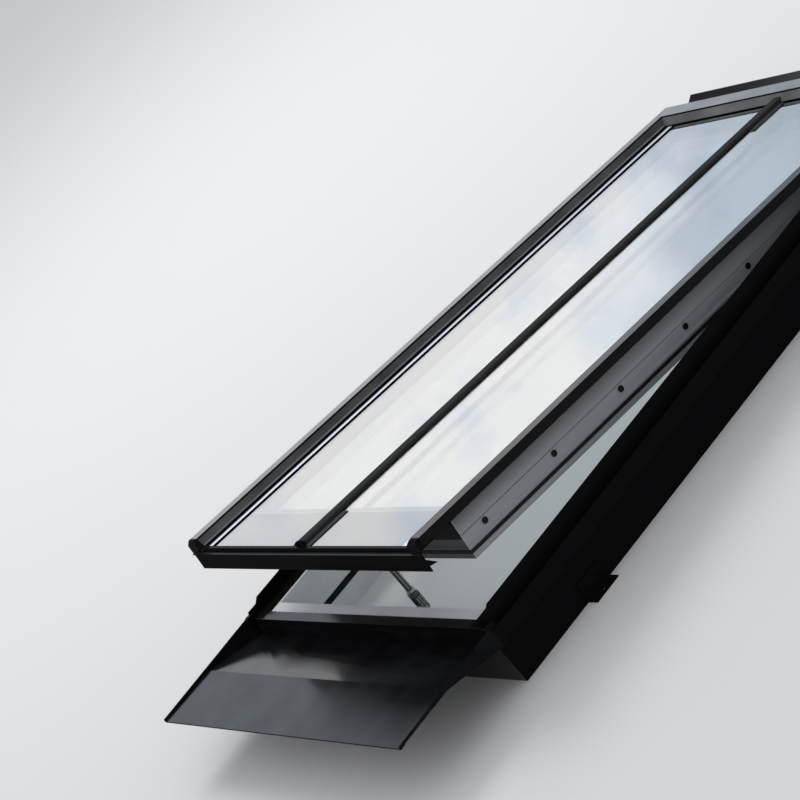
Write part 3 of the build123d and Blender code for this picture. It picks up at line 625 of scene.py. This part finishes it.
# The edge seal of the glass unit: black sealant trowelled round its edge and rounded over.
unit_side = 0.330
unit_front = -1.260
unit_head = -0.031
unit_underside = -0.0405
seal_out = 0.0016
seal_height = 0.0172
bpy.ops.object.select_all(action="DESELECT")
bpy.ops.mesh.primitive_plane_add(size=1, location=(0, (unit_front + unit_head) / 2, unit_underside))
edge_seal = bpy.context.object
edge_seal.name = "unit_edge_seal"
edge_seal.scale = (2 * (unit_side + seal_out), unit_head - unit_front + 2 * seal_out, 1)
bpy.ops.object.transform_apply()
bpy.ops.object.mode_set(mode="EDIT")
bpy.ops.mesh.select_all(action="SELECT")
bpy.ops.mesh.inset(thickness=seal_out, depth=0)
bpy.ops.mesh.delete(type="FACE")
bpy.ops.mesh.select_all(action="SELECT")
bpy.ops.mesh.extrude_region_move(TRANSFORM_OT_translate={"value": (0, 0, seal_height)})
bpy.ops.mesh.select_all(action="SELECT")
bpy.ops.mesh.normals_make_consistent(inside=False)
bpy.ops.object.mode_set(mode="OBJECT")
rounding = edge_seal.modifiers.new("rounding", "BEVEL")
rounding.width = 0.0007
rounding.segments = 2
bpy.ops.object.modifier_apply(modifier=rounding.name)
bpy.ops.object.shade_smooth_by_angle(angle=radians(40))
onto_sash(edge_seal, rubber)

# The overhang of the outer pane: a grey ceramic band fired on its underside, from the front of
# the unit to the edge, which hides the bond of the skirt.
enamel_grey = (0.10, 0.105, 0.112)
enamel_pale = (0.13, 0.136, 0.144)
band_side = 0.3595
enamel, shader, place = new_finish("fired_enamel", enamel_grey)
screening = noise(place, 400, 2)
feed(
    shader,
    Base_Color=between(screening, 0.3, 0.8, enamel_grey, enamel_pale),
    Roughness=0.35 + 0.15 * screening,
    Normal=relief(place, screening, 0.00002),
)
band_low = (-band_side, -1.3565, -0.02295)
band_high = (band_side, unit_front, -0.02275)
overhang_band = soft_strip("overhang_band", band_low, band_high, 0.00005, 1)
onto_sash(overhang_band, enamel)

# The glazing gasket along the foot of the cap, a black lip beside it, and then an anodised bead
# along each stile, whose pale bluish colour is partly its metal and partly a painted highlight of
# the sky along its edge. The left one has a second lip. The liner's gasket is the same rubber.
dress(lip_rubber, "glazing_gasket")
dress(rubber, "liner_gasket")
# Partly painted highlight: the bead's pale bluish white stands for the sky's glint along it.
bead_highlight_bright = (0.80, 0.84, 0.90)
bead_highlight_drawn = (0.68, 0.72, 0.79)
strip_front = -1.3535
strip_head = -0.020
strip_foot = -0.017
bead_highlight_metal, shader, place = new_finish("anodised_bead_highlight", bead_highlight_bright, Metallic=0.3)
drawn = noise(place, 300, 2, (1, 0.05, 1))
feed(
    shader,
    Base_Color=between(drawn, 0.3, 0.8, bead_highlight_bright, bead_highlight_drawn),
    Roughness=0.3 + 0.2 * drawn,
    Normal=relief(place, drawn, 0.00003),
)
for side_name, side in sides:
    for name, near, far, top, slot_name, finish in (
        ("edge_bead", 0.3215, 0.3340, -0.0164, "spacer_bar", bead_highlight_metal),
        ("gasket_edge", 0.3340, 0.3475, -0.0161, "rubber", lip_rubber),
        ("gasket_lip", 0.3110, 0.3215, -0.0161, "rubber", lip_rubber),
    ):
        if name == "gasket_lip" and side_name == "right":
            continue
        inner, outer = sorted((side * near, side * far))
        strip_low = (inner, strip_front, strip_foot)
        strip_high = (outer, strip_head, top)
        strip = soft_strip(f"{name}_{side_name}", strip_low, strip_high, 0.0003)
        onto_sash(strip, finish)

# The glazing bar: an extruded bar bonded along the middle of the pane by a black bead at its foot.
# Its satin coat is too dull for the glass beside it to mirror. Thin black rubber plates are under
# its ends, and a rounded rubber cap closes the front one.
bar_grey = (0.031, 0.0325, 0.033)
bar_pale = (0.044, 0.0455, 0.045)
bar_steel, shader, place = new_finish("bar_steel", bar_grey, Specular_IOR_Level=0, Coat_Weight=0.03)
film = noise(place, 12, 6)
drawn = noise(place, 500, 2, (1, 0.04, 1))
feed(
    shader,
    Base_Color=between(film, 0.3, 0.75, bar_grey, bar_pale),
    Roughness=0.45 + 0.2 * film,
    Normal=relief(place, drawn, 0.00003),
)
mirrored_rays = place.add("ShaderNodeLightPath", output="Is Glossy Ray")
unseen = place.add("ShaderNodeBsdfTransparent", None, {"Color": (1, 1, 1, 1)})
sockets = {0: mirrored_rays, 1: Tone(place.tree, shader.outputs[0]), 2: unseen}
dull = place.add("ShaderNodeMixShader", None, sockets)
place.tree.links.new(dull.socket, place.tree.nodes["Material Output"].inputs["Surface"])
dress(bar_steel, "glazing_bar")
dress(rubber, "bar_foot_plates")
for name, low, high, rounding, segments in (
    ("bar_end_cap", (-0.0124, -1.3575, -0.0185), (0.0124, -1.348, -0.0072), 0.0032, 5),
    ("bar_bond", (-0.0123, -1.3485, -0.017), (0.0123, -0.0105, -0.0149), 0.0005, 3),
):
    onto_sash(soft_strip(name, low, high, rounding, segments), lip_rubber)

# The liner: grey foam-filled mouldings round the underside of the glass, smooth and satin, with the
# streaks of their extrusion along them. Towards the cap they darken as painted shade, and the head
# and front mouldings are a darker copy of the same grey, a painted shadow over the front.
liner_grey = (0.285, 0.303, 0.315)
liner_pale = (0.315, 0.333, 0.345)
# The head and front mouldings are darker only as painted shade, where the front lies in shadow under
# the glass.
ends_shaded_grey = (0.06, 0.062, 0.065)
ends_shaded_pale = (0.08, 0.083, 0.087)
cap_shade_tint = (0.45, 0.45, 0.45)
for finish_name, base_grey, streak_grey, streak_way, members in (
    ("liner_sides", liner_grey, liner_pale, (8, 0.15, 8), ("liner_left", "liner_right")),
    ("liner_ends_shaded", ends_shaded_grey, ends_shaded_pale, (0.15, 8, 8), ("liner_head", "liner_front")),
):
    liner_skin, shader, place = new_finish(finish_name, base_grey, Specular_IOR_Level=0.35)
    streaks = noise(place, 40, 3, streak_way)
    level = place.add("ShaderNodeSeparateXYZ", None, {0: place}, output="Z") * 0.9928
    level = level + 0.12 * place.add("ShaderNodeSeparateXYZ", None, {0: place}, output="Y")
    # Painted shade: the skin darkens towards the cap, where the cap shades it.
    painted_cap_shade = between(level, 0.164, 0.187, (1, 1, 1), cap_shade_tint)
    skin = between(streaks, 0.3, 0.75, base_grey, streak_grey)
    shaded_skin = place.add("ShaderNodeVectorMath", {"operation": "MULTIPLY"}, {0: skin, 1: painted_cap_shade})
    feed(
        shader,
        Base_Color=shaded_skin,
        Roughness=0.42 + 0.18 * streaks,
        Normal=relief(place, streaks, 0.00005, 0.0008),
    )
    dress(liner_skin, *members)

# The liner's front: a soft black rubber strip under the overhang of the outer pane, glued along
# the top of the front liner, which paints the shadow of the overhang, and a pale bead down each
# front corner, which paints the highlight along the corner's edge.
# Painted shadow: the black strip stands for the shade under the overhang of the outer pane.
shade_strip_low = (-0.3285, -1.2645, -0.0765)
shade_strip_high = (0.3285, -1.2595, -0.041)
shade_strip = soft_strip("front_shade_strip", shade_strip_low, shade_strip_high, 0.0022, 4)
onto_sash(shade_strip, rubber)
# Painted highlight: the pale bead stands for the light along each front corner of the liner.
highlight_bead_pale = (0.44, 0.45, 0.46)
highlight_bead_dull = (0.36, 0.37, 0.38)
highlight_bead_paint, shader, place = new_finish("corner_highlight_bead", highlight_bead_pale)
lumps = noise(place, 260, 3)
feed(
    shader,
    Base_Color=between(lumps, 0.3, 0.75, highlight_bead_pale, highlight_bead_dull),
    Roughness=0.5 + 0.2 * lumps,
    Normal=relief(place, lumps, 0.0002),
)
for side_name, side in sides:
    inner, outer = sorted((side * 0.3292, side * 0.3308))
    corner_low = (inner, -1.2608, -0.0955)
    corner_high = (outer, -1.2592, -0.042)
    corner = soft_strip(f"corner_highlight_bead_{side_name}", corner_low, corner_high, 0.0006)
    onto_sash(corner, highlight_bead_paint)

# The liner's screws: black pan-head screws along each side, just under the fine groove, that hold
# the mouldings to the sash.
screw_black = (0.004, 0.004, 0.0045)
screw_worn = (0.03, 0.03, 0.03)
first_screw = 0.052
screw_spacing = 0.176
screw_drop = 0.080
screw_coat, shader, place = new_finish("screw_black", screw_black, Specular_IOR_Level=0.15)
wear = noise(place, 500, 3)
feed(
    shader,
    Base_Color=between(wear, 0.5, 0.85, screw_black, screw_worn),
    Roughness=0.22 + 0.25 * wear,
    Normal=relief(place, wear, 0.00005, 0.0003),
)
liner_screw = pan_screw("liner_screw_model", 0.006, 0.0026, 0.006)
screw_count = 0
for side in (-1, 1):
    for step in range(7):
        screw_count += 1
        name = f"liner_screw_{screw_count}"
        lean = Matrix.Rotation(side * radians(90), 4, "Y")
        turn = Matrix.Rotation(radians(20 + 47 * step), 4, "Z")
        seat_y = unit_front + first_screw + screw_spacing * step
        seat = Matrix.Translation((side * unit_side, seat_y, -screw_drop))
        placing = sash_frame @ seat @ lean @ turn
        screw = set_copy(liner_screw, name, placing, "sash", screw_coat)
        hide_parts("liner_screws")
bpy.data.objects.remove(liner_screw)

# The stay: a steel tube with its fork, zinc plated and dulled to a dark grey by handling, and
# scratched along the tube.
stay_grey = (0.08, 0.083, 0.08)
stay_bright = (0.22, 0.225, 0.22)
stay_steel, shader, place = new_finish("stay_steel", stay_grey, Metallic=0.85)
handling = noise(place, 90, 4)
scratches = noise(place, 700, 2, (1, 1, 0.1))
feed(
    shader,
    Base_Color=between(handling, 0.5, 0.72, stay_grey, stay_bright),
    Roughness=0.3 + 0.3 * handling,
    Normal=relief(place, scratches, 0.00008),
)
dress(stay_steel, "stay_arm", "stay_fork")
stay_frame = Matrix.Translation((0, -0.57142, 0.2424)) @ Matrix.Rotation(radians(-0.613), 4, "X")

# The stay's bright parts: a hexagon lock nut and a collar turned from bar, four drawn ribs along
# the tube, and three milled ribs along the outside of each tine of the fork.
bright_grey = (0.50, 0.51, 0.50)
tooled_grey = (0.36, 0.37, 0.36)
turned_steel, shader, place = new_finish("turned_steel", bright_grey, Metallic=0.9)
tooling = noise(place, 1200, 2, (0.2, 0.2, 1))
feed(
    shader,
    Base_Color=between(tooling, 0.35, 0.75, bright_grey, tooled_grey),
    Roughness=0.25 + 0.25 * tooling,
    Normal=relief(place, tooling, 0.00004, 0.0003),
)
for name, corners, radius, depth, below in (
    ("stay_lock_nut", 6, 0.0094, 0.006, 0.1555),
    ("stay_collar", 48, 0.0076, 0.007, 0.019),
):
    bpy.ops.object.select_all(action="DESELECT")
    bpy.ops.mesh.primitive_cylinder_add(
        vertices=corners, radius=radius, depth=depth, location=(0, 0, -below)
    )
    ring = bpy.context.object
    ring.name = f"{name}_model"
    bpy.ops.object.transform_apply()
    rounding = ring.modifiers.new("rounding", "BEVEL")
    rounding.width = 0.0009
    rounding.segments = 3
    rounding.limit_method = "ANGLE"
    bpy.ops.object.modifier_apply(modifier=rounding.name)
    bpy.ops.object.shade_smooth_by_angle(angle=radians(35))
    set_copy(ring, name, stay_frame, "stay", turned_steel)
    bpy.data.objects.remove(ring)
rib_half_width = 0.0006
rib_half_depth = 0.0009
for rib_name, length, middle, out, spread in (
    ("tube_rib", 0.124, 0.088, 0.0054, (-0.0026, 0.0026)),
    ("tine_rib", 0.0225, 0.1812, 0.0092, (-0.0048, 0, 0.0048)),
):
    rib_low = (-rib_half_width, -rib_half_depth, -length / 2)
    rib_high = (rib_half_width, rib_half_depth, length / 2)
    rib = soft_strip(f"{rib_name}_model", rib_low, rib_high, 0.0004)
    rib_count = 0
    for side in (-1, 1):
        for y in spread:
            rib_count += 1
            name = f"{rib_name}_{rib_count}"
            placing = stay_frame @ Matrix.Translation((side * out, y, -middle))
            set_copy(rib, name, placing, "stay", turned_steel)
    bpy.data.objects.remove(rib)

# The keep's screws: four small pan-head screws, zinc plated like the keep, through its plate into
# the front member.
keep_face = -0.637
keep_screw = pan_screw("keep_screw_model", 0.0034, 0.0016, 0.0036)
screw_count = 0
for x in (-0.017, 0.017):
    for z in (0.039, 0.057):
        screw_count += 1
        placing = Matrix.Translation((x, keep_face, z)) @ Matrix.Rotation(radians(-90), 4, "X")
        set_copy(keep_screw, f"keep_screw_{screw_count}", placing, "base", zinc)
bpy.data.objects.remove(keep_screw)

# The corner tucks: a small folded piece of coated steel at each front corner of the kerb, which
# closes the gap between the end of the capping's lip and the apron's welt. The closed sash passes
# beside it.
for side_name, side in sides:
    inner, outer = sorted((side * 0.3882, side * 0.3985))
    name = f"corner_tuck_{side_name}"
    tuck_low = (inner, -0.6905, 0.103)
    tuck_high = (outer, -0.668, 0.1258)
    tuck = soft_strip(f"{name}_model", tuck_low, tuck_high, 0.0015)
    set_copy(tuck, name, Matrix.Identity(4), "base", capping_steel)
    bpy.data.objects.remove(tuck)
